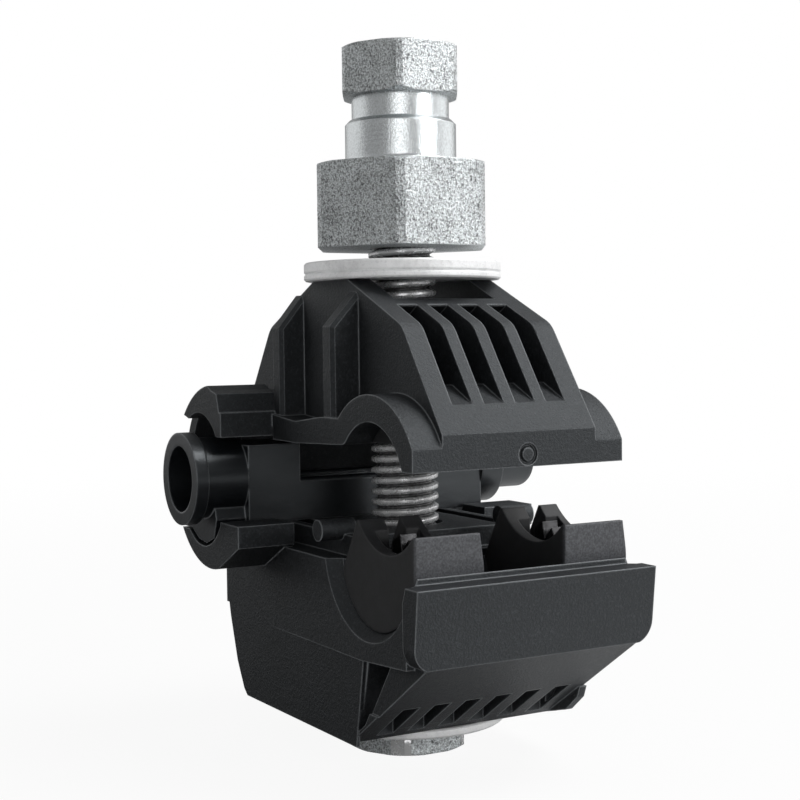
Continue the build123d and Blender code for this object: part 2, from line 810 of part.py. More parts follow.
# Seals under the main conductor, each with a pocket round its blade
for place, x in seal_places.items():
    with BuildPart() as lower_seal:
        with BuildSketch(section(x - seal_length / 2)):
            add(seal_foot.sketch_local)
            with Locations((cradle_arc_y, cradle_arc_z)):
                Circle(cradle_arc_radius, mode=Mode.SUBTRACT)
            block(seal_near_y, cradle_arc_y, seal_near_top_z, 0, mode=Mode.SUBTRACT)
        extrude(amount=seal_length)
        with BuildSketch(section(x)):
            with Locations((cradle_arc_y, cradle_arc_z)):
                Circle(cradle_arc_radius + seal_pocket_depth)
            block(seal_near_y + seal_rim, seal_pocket_far_y, -far, far, mode=Mode.INTERSECT)
        extrude(amount=seal_length / 2 - seal_rim, both=True, mode=Mode.SUBTRACT)
        with BuildSketch(section(x)):
            block(bed[0][0] - blade_clearance, far, lower_blade_bottom_z, 0)
        extrude(amount=lower_blade_thickness / 2 + blade_clearance, both=True, mode=Mode.SUBTRACT)
        with BuildSketch(lengthwise(0)):
            Polygon(
                (x + seal_length / 2, seal_taper_z),
                (x + seal_length / 2 - seal_taper, 0),
                (x + seal_length / 2, 0),
            )
        extrude(amount=far, both=True, mode=Mode.SUBTRACT)
    lower_seal.part.label = "lower_main_seal_" + place
    pieces.append(lower_seal.part)

# Seals in the upper arch
for place, side in upper_places.items():
    with BuildPart() as upper_seal:
        with BuildSketch(section(side * upper_seal_inner_x)):
            with Locations((arch_y, arch_z)):
                Circle(arch_radius)
            block(-far, far, upper_seal_z, far, mode=Mode.INTERSECT)
        extrude(amount=side * (upper_seal_outer_x - upper_seal_inner_x))
        with BuildSketch(section(side * upper_blade_x)):
            block(main_low - blade_clearance, far, 0, far)
        extrude(amount=upper_blade_thickness / 2 + blade_clearance, both=True, mode=Mode.SUBTRACT)
    upper_seal.part.label = "upper_main_seal_" + place
    pieces.append(upper_seal.part)

# Blades that bite through both conductors' insulation
for place, x in seal_places.items():
    with BuildPart() as lower_blade:
        with BuildSketch(section(x - lower_blade_thickness / 2)):
            add(lower_blade_face.sketch_local)
        extrude(amount=lower_blade_thickness)
    lower_blade.part.label = "lower_blade_" + place
    pieces.append(lower_blade.part)
for place, side in upper_places.items():
    with BuildPart() as upper_blade:
        with BuildSketch(section(side * upper_blade_x - upper_blade_thickness / 2)):
            add(upper_blade_face.sketch_local)
        extrude(amount=upper_blade_thickness)
    upper_blade.part.label = "upper_blade_" + place
    pieces.append(upper_blade.part)

for piece in pieces:
    export_step(piece, "parts/" + piece.label + ".step")
    print(piece.label, round(piece.volume, 1))
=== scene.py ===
import math
from contextlib import contextmanager

import bmesh
import bpy
from mathutils import Matrix, Vector


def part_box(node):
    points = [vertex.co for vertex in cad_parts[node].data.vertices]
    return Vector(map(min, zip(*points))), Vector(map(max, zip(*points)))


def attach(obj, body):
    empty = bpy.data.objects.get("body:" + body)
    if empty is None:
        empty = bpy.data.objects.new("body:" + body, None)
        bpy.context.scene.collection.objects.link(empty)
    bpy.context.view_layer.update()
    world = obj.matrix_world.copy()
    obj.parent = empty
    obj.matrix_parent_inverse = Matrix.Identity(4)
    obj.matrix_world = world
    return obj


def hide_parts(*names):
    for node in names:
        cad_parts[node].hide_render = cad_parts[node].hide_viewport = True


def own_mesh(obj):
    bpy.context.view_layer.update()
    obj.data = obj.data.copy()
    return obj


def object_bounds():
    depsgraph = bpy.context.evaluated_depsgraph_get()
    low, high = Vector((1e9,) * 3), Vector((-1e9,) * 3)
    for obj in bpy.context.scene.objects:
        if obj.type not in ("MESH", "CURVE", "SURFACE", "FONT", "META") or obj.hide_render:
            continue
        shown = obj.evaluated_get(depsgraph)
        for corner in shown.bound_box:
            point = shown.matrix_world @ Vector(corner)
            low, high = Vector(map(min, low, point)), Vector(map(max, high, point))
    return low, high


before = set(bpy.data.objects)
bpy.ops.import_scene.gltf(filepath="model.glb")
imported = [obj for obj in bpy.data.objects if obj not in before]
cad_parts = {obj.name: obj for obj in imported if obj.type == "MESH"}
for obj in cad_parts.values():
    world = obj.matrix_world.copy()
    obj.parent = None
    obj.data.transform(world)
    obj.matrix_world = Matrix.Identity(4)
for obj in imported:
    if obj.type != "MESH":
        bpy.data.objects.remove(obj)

bl_info = {
    "name": "Insulation Piercing Connector",
    "version": (1, 0, 0),
    "blender": (4, 5, 0),
    "location": "View3D > Sidebar > Connector",
    "description": "Finishes a packed insulation piercing connector and sets it on a studio floor",
    "category": "Object",
}

MM = 0.001
CAD_BOX = [[float(v) for v in corner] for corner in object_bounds()]
BOLT_LOW, BOLT_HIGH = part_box("bolt")
BOLT_AXIS = Vector(((BOLT_LOW[0] + BOLT_HIGH[0]) / 2, (BOLT_LOW[1] + BOLT_HIGH[1]) / 2, 0))

# The outline of the foot under the tube, across and up, in millimetres: it hugs the tube above
# and lies in the cradle below
TUBE_CENTRE = (29.4, 0.4)
FOOT_HUG_RADIUS = 4.2
FOOT_HUG_ANGLES = (325, 307, 289, 270, 251, 235, 220)
FOOT_SOLE = (
    (25.6, -4.3), (26.4, -6.5), (28.6, -7.3), (31.0, -7.0),
    (33.2, -5.85), (35.7, -5.9), (35.6, -4.2), (33.9, -3.4),
)

# What is trimmed off below the slanted panel, in millimetres: its start and its end along the
# connector, and its outline across and up
PANEL_TRIMS = (
    (-13.05, 12.35, ((-1.6, -22.2), (5.3, -26.88), (5.3, -27.4), (-1.6, -27.4))),
    (-13.4, -13.0, ((-1.6, -22.2), (3.38, -25.578), (3.38, -27.4), (-1.6, -27.4))),
    (12.3, 13.6, ((1.4, -25.79), (5.3, -26.81), (5.3, -27.4), (1.4, -27.4))),
)
# How much lower each trim is set, in millimetres, to leave the panel's own face alone
TRIM_DROP = 0.01
# Edges of the trimmed base that are sharper than this stay sharp
SHARP_ANGLE = math.radians(20)

# Points of a mesh that are closer than this, in metres, become one
CAD_MERGE = 0.0005 * MM
THREAD_MERGE = 0.001 * MM

# The thread's flank, from its root to its crest, as shares of half a turn's height
THREAD_FLANK = (0.06, 0.7)
# How far in from the crest the painted shade of the roots ends and the painted highlight of the
# crests is full, in millimetres
THREAD_SHADE = (0.6, 0.15)
# Turns at the thread's foot that are hidden in the plain shank
THREAD_OVERLAP = 2
# How far a row of the thread's strip may lie past either end, in turns
ROW_MARGIN = 0.0001

# How far the rounded normal leans where an edge's mask starts and where it is full
EDGE_LEAN = (0.03, 0.2)
BEVEL_SAMPLES = 6

# Radius of the floor in metres, and its points
FLOOR_RADIUS = 1.5
FLOOR_POINTS = 128
# Where the floor changes, in millimetres: across and outwards from dark to pale as glossy faces
# mirror it, and outwards to white as the camera sees it
FLOOR_SIDE = (-20, 6)
FLOOR_NEAR = (60, 120)
FLOOR_FAR = (60, 400)

# The softboxes: name, the stage setting that is its power, and place and size in metres
SOFTBOXES = (
    ("key_panel", "key", (0.25, -0.42, 0.08), 0.42),
    ("front_panel", "front", (-0.3, -0.5, 0.09), 0.32),
    ("side_panel", "side", (0.52, -0.02, 0.12), 0.5),
    ("strip_softbox", "strip", (0.22, -0.375, 0.125), 0.1),
    ("top_softbox", "top", (0.245, -0.144, 0.42), 0.28),
    ("back_softbox", "back", (-0.27, 0.44, 0.08), 0.6),
)
LAMP_TARGET = (0, BOLT_AXIS.y, 0.01)

# The photograph's camera as fitted to its edges: millimetres, degrees and pixels
CAMERA_PLACE = (-85.8, -134.8, 16.6)
CAMERA_TURN, CAMERA_DIP, CAMERA_TILT = 29.49, 2.38, 0.73
FOCAL_PIXELS = 1483
PHOTO_PIXELS = 800
SENSOR_WIDTH = 36.0
CLIP_START = 0.01


class ConnectorSizes(bpy.types.PropertyGroup):
    """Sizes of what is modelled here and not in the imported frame."""

    thread_radius: bpy.props.FloatProperty(
        name="Thread radius", description="Outer radius of the bolt's thread",
        default=3.93 * MM, unit="LENGTH", precision=5)
    thread_depth: bpy.props.FloatProperty(
        name="Thread depth", description="Height of the thread over its root",
        default=0.72 * MM, unit="LENGTH", precision=5)
    thread_pitch: bpy.props.FloatProperty(
        name="Thread pitch", description="Distance from one turn of the thread to the next",
        default=1.25 * MM, unit="LENGTH", precision=5)
    thread_turns: bpy.props.IntProperty(
        name="Thread turns", description="Turns of thread down from the bolt's end", default=38)
    thread_segments: bpy.props.IntProperty(
        name="Thread segments", description="Points round each turn of the thread", default=56)
    thread_rows: bpy.props.IntProperty(
        name="Thread rows", description="Rows of faces from one turn to the next", default=12)
    edge_round: bpy.props.FloatProperty(
        name="Edge round", description="Radius that the light sees on the moulded edges",
        default=0.32 * MM, unit="LENGTH", precision=5)
    metal_round: bpy.props.FloatProperty(
        name="Metal edge round", description="Radius that the light sees on the metal edges",
        default=0.2 * MM, unit="LENGTH", precision=5)
    sleeve_kept: bpy.props.FloatProperty(
        name="Sleeve kept",
        description="Share of the sleeve's height left when the jaws are closed",
        default=0.44, subtype="FACTOR")
    foot_start: bpy.props.FloatProperty(
        name="Foot start",
        description="Place along the connector where the foot under the tube starts",
        default=-19.9 * MM, unit="LENGTH", precision=5)
    foot_end: bpy.props.FloatProperty(
        name="Foot end",
        description="Place along the connector where the foot runs into the sleeve",
        default=-15.95 * MM, unit="LENGTH", precision=5)
    seal_front: bpy.props.FloatProperty(
        name="Seal front",
        description="Place across the connector where the seals' dusty front starts",
        default=-8.2 * MM, unit="LENGTH", precision=5)
    collar_foot: bpy.props.FloatProperty(
        name="Collar foot", description="Height where the nut's turned collar starts",
        default=36.9 * MM, unit="LENGTH", precision=5)
    collar_head: bpy.props.FloatProperty(
        name="Collar head", description="Height where the nut's turned neck ends",
        default=44.3 * MM, unit="LENGTH", precision=5)


class ConnectorColours(bpy.types.PropertyGroup):
    """Colours of the connector's materials."""

    nylon: bpy.props.FloatVectorProperty(
        name="Nylon", description="Glass-filled nylon of both bodies",
        default=(0.0032, 0.0038, 0.0048), subtype="COLOR")
    nylon_grain: bpy.props.FloatVectorProperty(
        name="Nylon grain", description="Lighter grain and scuffs of the nylon",
        default=(0.032, 0.0345, 0.039), subtype="COLOR")
    sleeve: bpy.props.FloatVectorProperty(
        name="Sleeve", description="Smooth black rubber of the tap sleeve and its cap",
        default=(0.005, 0.0058, 0.0075), subtype="COLOR")
    sheen: bpy.props.FloatVectorProperty(
        name="Sheen", description="Cool tint of what the black pieces reflect",
        default=(0.9, 0.96, 1.0), subtype="COLOR")
    seal: bpy.props.FloatVectorProperty(
        name="Seal", description="Matte rubber of the main seals",
        default=(0.012, 0.0125, 0.0137), subtype="COLOR")
    zinc: bpy.props.FloatVectorProperty(
        name="Zinc", description="Tumbled zinc of the shear nut and the bolt's head",
        default=(0.91, 0.95, 0.965), subtype="COLOR")
    steel: bpy.props.FloatVectorProperty(
        name="Steel", description="Steel of the bolt's thread and the washers",
        default=(0.93, 0.935, 0.94), subtype="COLOR")
    tin: bpy.props.FloatVectorProperty(
        name="Tin", description="Greased face of the contact blades",
        default=(0.06, 0.06, 0.062), subtype="COLOR")
    # Painted highlight: a light colour laid along the edges of the black pieces
    painted_edge_highlight: bpy.props.FloatVectorProperty(
        name="Painted edge highlight", description="Edges where the black pieces are rubbed bright",
        default=(0.32, 0.335, 0.35), subtype="COLOR")


class StageSettings(bpy.types.PropertyGroup):
    """Lamps and floor of the studio."""

    key: bpy.props.FloatProperty(
        name="Key", description="Power of the wide panel at the front right",
        default=0.2, unit="POWER")
    front: bpy.props.FloatProperty(
        name="Front", description="Power of the panel behind the camera",
        default=0.42, unit="POWER")
    side: bpy.props.FloatProperty(
        name="Side", description="Power of the panel at the right side",
        default=0.5, unit="POWER")
    strip: bpy.props.FloatProperty(
        name="Strip", description="Power of the small bright softbox in front of the panel",
        default=0.34, unit="POWER")
    top: bpy.props.FloatProperty(
        name="Top", description="Power of the softbox over the right shoulder",
        default=1.9, unit="POWER")
    back: bpy.props.FloatProperty(
        name="Back", description="Power of the softbox behind the left side",
        default=0.42, unit="POWER")
    ambient: bpy.props.FloatProperty(
        name="Ambient", description="Strength of the even light all round", default=0.29)
    floor: bpy.props.FloatVectorProperty(
        name="Floor", description="Colour of the floor", default=(0.8, 0.8, 0.8), subtype="COLOR")
    floor_mirrored: bpy.props.FloatVectorProperty(
        name="Floor mirrored",
        description="Colour of the floor where glossy faces mirror it darker",
        default=(0.12, 0.12, 0.12), subtype="COLOR")
    floor_seen: bpy.props.FloatProperty(
        name="Floor seen",
        description="Share of white that the camera sees in place of the floor",
        default=0.92, subtype="FACTOR")


class Signal:
    """A number that varies over a shape. Arithmetic on it adds Math nodes."""

    def __init__(self, owner, socket):
        self.owner = owner
        self.socket = socket

    def maths(self, operation, *values):
        """A Math node on the same tree, with any values."""
        return self.owner.node("ShaderNodeMath", dict(enumerate(values)), operation=operation)

    def __add__(self, other):
        return self.maths("ADD", self, other)

    def __radd__(self, other):
        return self.maths("ADD", other, self)

    def __sub__(self, other):
        return self.maths("SUBTRACT", self, other)

    def __rsub__(self, other):
        return self.maths("SUBTRACT", other, self)

    def __mul__(self, other):
        return self.maths("MULTIPLY", self, other)

    def __rmul__(self, other):
        return self.maths("MULTIPLY", other, self)

    def __gt__(self, other):
        return self.maths("GREATER_THAN", self, other)

    def __lt__(self, other):
        return self.maths("LESS_THAN", self, other)

    def between(self, low, high):
        """0 below low, 1 above high, and a rise in between."""
        return self.owner.node(
            "ShaderNodeMapRange", {"Value": self, "From Min": low, "From Max": high},
            interpolation_type="SMOOTHSTEP")


class Tree:
    """Adds nodes to one node tree."""

    def __init__(self, tree):
        self.tree = tree

    def node(self, kind, inputs=None, output=0, **settings):
        """A node of any type: its settings first, then the values and links of its sockets."""
        made = self.tree.nodes.new(kind)
        for name, value in settings.items():
            setattr(made, name, value)
        for name, value in (inputs or {}).items():
            self.feed(made.inputs[name], value)
        return Signal(self, made.outputs[output])

    def feed(self, socket, value):
        """Links a signal to a socket, or sets the socket's value."""
        if isinstance(value, Signal):
            self.tree.links.new(value.socket, socket)
        elif socket.type == "RGBA" and len(value) == 3:
            socket.default_value = (*value, 1)
        else:
            socket.default_value = value


class Finish(Tree):
    """One material, with its patterns in millimetres of the object's own place."""

    def __init__(self, name):
        self.material = bpy.data.materials.new(name)
        self.material.use_nodes = True
        super().__init__(self.material.node_tree)
        self.surface = self.tree.nodes["Principled BSDF"]
        place = self.node("ShaderNodeTexCoord", output="Object")
        self.place = self.moved(place, Scale=(1 / MM, 1 / MM, 1 / MM))

    def moved(self, place, **changes):
        """A place that is moved, turned or scaled."""
        return self.node("ShaderNodeMapping", {"Vector": place, **changes}, output="Vector")

    def set(self, **values):
        """Feeds the surface's sockets, with an underscore for each blank in a name."""
        for name, value in values.items():
            self.feed(self.surface.inputs[name.replace("_", " ")], value)

    def noise(self, scale, detail, rough, stretch=(1, 1, 1), seed=0.0):
        """Noise of a scale per millimetre, stretched and moved by its seed."""
        place = self.moved(self.place, Scale=stretch, Location=(seed, seed, seed))
        return self.node("ShaderNodeTexNoise", {
            "Vector": place, "Scale": scale, "Detail": detail, "Roughness": rough})

    def cells(self, scale):
        """The random colours of a pattern of cells."""
        return self.node(
            "ShaderNodeTexVoronoi", {"Vector": self.place, "Scale": scale}, output="Color")

    def part(self, axis):
        """One axis of the place, in millimetres."""
        return self.node("ShaderNodeSeparateXYZ", {0: self.place}, output=axis)

    def mix(self, low, high, share):
        """A colour between two colours."""
        return self.node("ShaderNodeMix", {0: share, 6: low, 7: high}, output=2, data_type="RGBA")

    def rounded(self, radius):
        """The normal with its edges rounded off, and a mask of where they are."""
        round_normal = self.node("ShaderNodeBevel", {"Radius": radius}, samples=BEVEL_SAMPLES)
        flat_normal = self.node("ShaderNodeNewGeometry", output="Normal")
        facing = self.node(
            "ShaderNodeVectorMath", {0: round_normal, 1: flat_normal},
            output="Value", operation="DOT_PRODUCT")
        return round_normal, (1 - facing).between(*EDGE_LEAN)

    def relief(self, height, strength, depth, under):
        """Feeds the surface with a bump of a given depth in millimetres."""
        self.set(Normal=self.node("ShaderNodeBump", {
            "Height": height, "Strength": strength, "Distance": depth * MM, "Normal": under}))


def toned(colour, share):
    """A colour made darker, or lighter with a share above 1."""
    return tuple(c * share for c in colour)


def nylon(name, colours, sizes):
    """Black glass-filled nylon: a fine grain, slow clouds, smoother edges and a painted highlight
    along them.
    """
    finish = Finish(name)
    grain = finish.noise(scale=3.6, detail=4, rough=0.7)
    mottle = finish.noise(scale=1.9, detail=4, rough=0.66, seed=11.0)
    clouds = finish.noise(scale=0.16, detail=4, rough=0.6, seed=7.0)
    round_normal, edges = finish.rounded(sizes.edge_round)
    lighter = (
        grain.between(0.52, 0.64) * 0.6 + mottle.between(0.5, 0.66) * 0.2
        + clouds.between(0.4, 0.75) * 0.08)
    surface = finish.mix(colours.nylon, colours.nylon_grain, lighter)
    # The edges get a painted highlight: the light colour is mixed in along them, patchy with the
    # clouds
    finish.set(
        Base_Color=finish.mix(surface, colours.painted_edge_highlight, edges * (0.35 + clouds * 0.7)),
        Specular_IOR_Level=0.72, Specular_Tint=colours.sheen,
        Roughness=0.34 + grain * 0.2 + mottle * 0.2 - edges * 0.12)
    finish.relief(grain + mottle * 0.6, strength=0.75, depth=0.15, under=round_normal)
    return finish.material


def smooth_rubber(name, colours, sizes):
    """Glossy black rubber with faint flow lines, light specks and a painted highlight on its
    edges.
    """
    finish = Finish(name)
    flow = finish.noise(scale=0.35, detail=3, rough=0.55, stretch=(0.4, 1, 1))
    specks = finish.noise(scale=7.0, detail=2, rough=0.5)
    round_normal, edges = finish.rounded(sizes.edge_round)
    # A painted highlight along the edges, plus a few real light specks
    lighter = edges * 0.5 + specks.between(0.62, 0.8) * 0.08
    finish.set(
        Base_Color=finish.mix(colours.sleeve, colours.painted_edge_highlight, lighter),
        Specular_IOR_Level=1.0, Specular_Tint=colours.sheen,
        Roughness=0.2 + flow * 0.2 + specks * 0.05)
    finish.relief(flow + specks * 0.12, strength=0.5, depth=0.12, under=round_normal)
    return finish.material


def seal_rubber(name, colours, sizes):
    """Matte dark-grey rubber with a dusty bloom and a painted highlight on its edges."""
    finish = Finish(name)
    bloom = finish.noise(scale=0.6, detail=5, rough=0.65)
    specks = finish.noise(scale=5.0, detail=3, rough=0.6)
    round_normal, edges = finish.rounded(sizes.edge_round)
    front = (sizes.seal_front / MM - finish.part("Y")).between(0, 0.6)
    # Bloom and specks are dust and wear; the edges' share is a painted highlight
    wear_and_edge_highlight = bloom.between(0.35, 0.75) * 0.06 + specks.between(0.5, 0.75) * 0.08 + edges * 0.25
    dust_wear_and_edge_highlight = wear_and_edge_highlight + front * (0.35 + specks.between(0.3, 0.7) * 0.6)
    finish.set(
        Base_Color=finish.mix(colours.seal, toned(colours.seal, 8), dust_wear_and_edge_highlight),
        Roughness=0.5 + specks * 0.2 - edges * 0.1)
    finish.relief(specks * 0.6 + bloom * 0.5, strength=0.4, depth=0.05, under=round_normal)
    return finish.material


def tumbled_zinc(name, colours, sizes):
    """Zinc plate: gritty faces with the nicks that tumbling leaves, a smooth turned collar and a
    painted highlight on the edges.
    """
    finish = Finish(name)
    grit = finish.noise(scale=5.0, detail=3, rough=0.6)
    nicks = finish.noise(scale=3.4, detail=4, rough=0.65, stretch=(1.3, 1.3, 0.7), seed=4.0)
    stains = finish.noise(scale=0.3, detail=4, rough=0.6, seed=5.0)
    turned = finish.noise(scale=1.1, detail=3, rough=0.6, stretch=(0.1, 0.1, 2.6), seed=2.0)
    height = finish.part("Z")
    low, high = sizes.collar_foot / MM, sizes.collar_head / MM
    smooth = (height > low) * (height < high)
    rough = 1 - smooth * 0.8
    round_normal, edges = finish.rounded(sizes.metal_round)
    dark = (
        grit.between(0.46, 0.56) * 0.5 + nicks.between(0.52, 0.6) * 0.4
        + stains.between(0.4, 0.75) * 0.2)
    # Less darkening along the edges paints a highlight there
    finish.set(
        Base_Color=finish.mix(
            colours.zinc, toned(colours.zinc, 0.16), dark * rough - edges * 0.35),
        Metallic=1.0,
        Roughness=0.2 + grit * 0.2 * rough + stains * 0.06 - edges * 0.06)
    finish.relief(
        (grit + nicks) * rough + turned * smooth * 0.2,
        strength=0.85, depth=0.14, under=round_normal)
    return finish.material


def galvanised(name, colours, sizes):
    """Hot-dip zinc: soft spangle, a few stains and a painted highlight on the rim."""
    finish = Finish(name)
    tone = finish.node("ShaderNodeRGBToBW", {"Color": finish.cells(scale=0.9)})
    grit = finish.noise(scale=3.2, detail=5, rough=0.65)
    stains = finish.noise(scale=0.45, detail=4, rough=0.6)
    round_normal, edges = finish.rounded(sizes.metal_round)
    dark = tone * 0.12 + grit.between(0.5, 0.7) * 0.3 + stains.between(0.48, 0.7) * 0.3
    # Less darkening along the edges paints a highlight on the rim
    finish.set(
        Base_Color=finish.mix(
            colours.steel, toned(colours.steel, 0.5), dark * 0.8 - edges * 0.3),
        Metallic=0.3,
        Roughness=0.38 + grit * 0.2 + tone * 0.08 - edges * 0.08)
    finish.relief(grit + tone * 0.25, strength=0.45, depth=0.06, under=round_normal)
    return finish.material


def bright_thread(name, colours, sizes):
    """Rolled thread: a painted highlight on the crests over painted shade in the roots."""
    finish = Finish(name)
    centre = tuple(-v / MM for v in BOLT_AXIS)
    spoke = finish.moved(finish.place, Location=centre, Scale=(1, 1, 0))
    reach = finish.node("ShaderNodeVectorMath", {0: spoke}, output="Value", operation="LENGTH")
    crest_light_and_root_shade = reach.between(*(sizes.thread_radius / MM - inward for inward in THREAD_SHADE))
    grit = finish.noise(scale=1.2, detail=3, rough=0.6)
    even = finish.node("ShaderNodeNewGeometry", output="Normal")
    # Painted shade in the roots and a painted highlight on the crests, by distance from the axis
    finish.set(
        Base_Color=finish.mix(toned(colours.steel, 0.15), colours.steel, crest_light_and_root_shade * 1.5),
        Metallic=0.6,
        Roughness=0.2 + grit * 0.14)
    finish.relief(grit, strength=0.2, depth=0.015, under=even)
    return finish.material


def tinned(name, colours, sizes):
    """Tinned contact metal, darkened by grease between the teeth, with a painted highlight on its
    edges.
    """
    finish = Finish(name)
    smears = finish.noise(scale=0.8, detail=4, rough=0.6)
    grit = finish.noise(scale=5.0, detail=3, rough=0.6)
    round_normal, edges = finish.rounded(sizes.metal_round)
    # Less darkening along the edges paints a highlight there
    finish.set(
        Base_Color=finish.mix(
            colours.tin, toned(colours.tin, 0.25), smears.between(0.42, 0.7) - edges * 0.5),
        Metallic=1.0,
        Roughness=0.26 + smears * 0.2 + grit * 0.08)
    finish.relief(grit + smears * 0.6, strength=0.3, depth=0.04, under=round_normal)
    return finish.material


def dress(node, material):
    """Gives a CAD node its material."""
    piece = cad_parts[node]
    piece.data.materials.clear()
    piece.data.materials.append(material)


@contextmanager
def editing(mesh):
    """Opens a mesh for changes, and writes them back."""
    grid = bmesh.new()
    grid.from_mesh(mesh)
    yield grid
    grid.to_mesh(mesh)
    grid.free()


def placed(name, data):
    """A new object in the scene."""
    piece = bpy.data.objects.new(name, data)
    bpy.context.scene.collection.objects.link(piece)
    return piece


def evaluated(piece):
    """A plain mesh of an object with its modifiers."""
    view = bpy.context.evaluated_depsgraph_get()
    return bpy.data.meshes.new_from_object(piece.evaluated_get(view))


def merged_copy(node, name, material):
    """A copy of a CAD node's mesh with its loose triangles joined up."""
    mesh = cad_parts[node].data.copy()
    mesh.name = name
    with editing(mesh) as grid:
        bmesh.ops.remove_doubles(grid, verts=grid.verts, dist=CAD_MERGE)
    mesh.materials.clear()
    mesh.materials.append(material)
    return placed(name, mesh)


def add_prism(grid, outline, start, end):
    """Adds a closed prism along the connector, with its outline across and up in millimetres."""
    near, far = (
        [grid.verts.new((x, y * MM, z * MM)) for y, z in outline] for x in (start, end))
    sides = [grid.faces.new(near), grid.faces.new(far)]
    for i in range(len(outline)):
        sides.append(grid.faces.new((near[i - 1], near[i], far[i], far[i - 1])))
    bmesh.ops.recalc_face_normals(grid, faces=sides)


def add_foot(piece, sizes):
    """Adds the closed rubber foot that holds the sleeve's tube in its cradle."""
    hug = [
        (TUBE_CENTRE[0] + FOOT_HUG_RADIUS * math.cos(math.radians(turn)),
         TUBE_CENTRE[1] + FOOT_HUG_RADIUS * math.sin(math.radians(turn)))
        for turn in FOOT_HUG_ANGLES]
    with editing(piece.data) as grid:
        add_prism(grid, hug + list(FOOT_SOLE), sizes.foot_start, sizes.foot_end)


def trim_panel(piece):
    """Cuts the base flush with its slanted panel."""
    for start, end, outline in PANEL_TRIMS:
        mesh = bpy.data.meshes.new("trim")
        with editing(mesh) as grid:
            add_prism(grid, [(y, z - TRIM_DROP) for y, z in outline], start * MM, end * MM)
        cutter = placed("trim", mesh)
        cut = piece.modifiers.new("trim", "BOOLEAN")
        cut.operation = "DIFFERENCE"
        cut.solver = "EXACT"
        cut.object = cutter
        trimmed = evaluated(piece)
        piece.modifiers.remove(cut)
        bpy.data.objects.remove(cutter)
        piece.data = trimmed
    # The CAD mesh brings its own normals, which no longer fit
    custom = piece.data.attributes.get("custom_normal")
    if custom:
        piece.data.attributes.remove(custom)
    piece.data.shade_smooth()
    piece.data.set_sharp_from_angle(angle=SHARP_ANGLE)


def thread_tree():
    """Geometry Nodes for a screw thread: one strip of a turn's height, wound up the bolt."""
    group = bpy.data.node_groups.new("Screw thread", "GeometryNodeTree")
    group.interface.new_socket("Thread", in_out="OUTPUT", socket_type="NodeSocketGeometry")
    for name, kind in (
        ("Centre", "NodeSocketVector"), ("Foot", "NodeSocketFloat"),
        ("Radius", "NodeSocketFloat"), ("Depth", "NodeSocketFloat"),
        ("Pitch", "NodeSocketFloat"), ("Turns", "NodeSocketInt"),
        ("Segments", "NodeSocketInt"), ("Rows", "NodeSocketInt"),
        ("Material", "NodeSocketMaterial"),
    ):
        group.interface.new_socket(name, in_out="INPUT", socket_type=kind)
    tree = Tree(group)
    given = {item.name: Signal(tree, item) for item in group.nodes.new("NodeGroupInput").outputs}
    turns, depth = given["Turns"], given["Depth"]
    strip = tree.node("GeometryNodeMeshGrid", {
        "Size X": turns, "Size Y": 1.0,
        "Vertices X": turns * given["Segments"] + 1, "Vertices Y": given["Rows"] + 1})
    place = tree.node("GeometryNodeInputPosition")
    turn = tree.node("ShaderNodeSeparateXYZ", {0: place}, output="X") + turns * 0.5
    rise = tree.node("ShaderNodeSeparateXYZ", {0: place}, output="Y") + 0.5
    climb = turn + rise
    ridge = turn.maths("ABSOLUTE", rise * 2 - 1)
    flank = ridge.between(*THREAD_FLANK)
    # Rows past either end fall on the axis and close the strip
    inside = (climb > 1 - ROW_MARGIN) * (climb < turns + ROW_MARGIN)
    radius = (given["Radius"] - depth + depth * flank) * inside
    held = turn.maths("MAXIMUM", turn.maths("MINIMUM", climb, turns), 1)
    angle = turn * (2 * math.pi)
    point = tree.node("ShaderNodeCombineXYZ", {
        "X": radius * turn.maths("COSINE", angle),
        "Y": radius * turn.maths("SINE", angle),
        "Z": given["Foot"] + given["Pitch"] * held})
    point = tree.node("ShaderNodeVectorMath", {0: point, 1: given["Centre"]}, operation="ADD")
    wound = tree.node("GeometryNodeSetPosition", {"Geometry": strip, "Position": point})
    joined = tree.node(
        "GeometryNodeMergeByDistance", {"Geometry": wound, "Distance": THREAD_MERGE})
    smooth = tree.node("GeometryNodeSetShadeSmooth", {"Geometry": joined})
    plain = tree.node("GeometryNodeRealizeInstances", {"Geometry": smooth})
    painted = tree.node(
        "GeometryNodeSetMaterial", {"Geometry": plain, "Material": given["Material"]})
    tree.feed(group.nodes.new("NodeGroupOutput").inputs[0], painted)
    return group


def grown(name, tree, values):
    """A plain mesh from a Geometry Nodes tree and its named inputs."""
    holder = placed(name + "_growing", bpy.data.meshes.new(name + "_empty"))
    modifier = holder.modifiers.new("grow", "NODES")
    modifier.node_group = tree
    for item in tree.interface.items_tree:
        if item.in_out == "INPUT":
            modifier[item.identifier] = values[item.name]
    mesh = evaluated(holder)
    mesh.name = name
    bpy.data.objects.remove(holder)
    return mesh


def add_thread(bolt, mesh, height):
    """Cuts the plain shank off at a height, and adds the thread in the second material."""
    with editing(bolt.data) as grid:
        everything = list(grid.verts) + list(grid.edges) + list(grid.faces)
        bmesh.ops.bisect_plane(
            grid, geom=everything, plane_co=(0, 0, height), plane_no=(0, 0, 1),
            clear_outer=True)
        rim = [edge for edge in grid.edges if edge.is_boundary]
        bmesh.ops.holes_fill(grid, edges=rim, sides=0)
        bmesh.ops.recalc_face_normals(grid, faces=grid.faces)
        start = len(grid.faces)
        grid.from_mesh(mesh)
        grid.faces.ensure_lookup_table()
        for face in grid.faces[start:]:
            face.material_index = 1


def material_for(recipe, name, context):
    """A material in the scene's colours and sizes."""
    return recipe(name, context.scene.connector_colours, context.scene.connector_sizes)


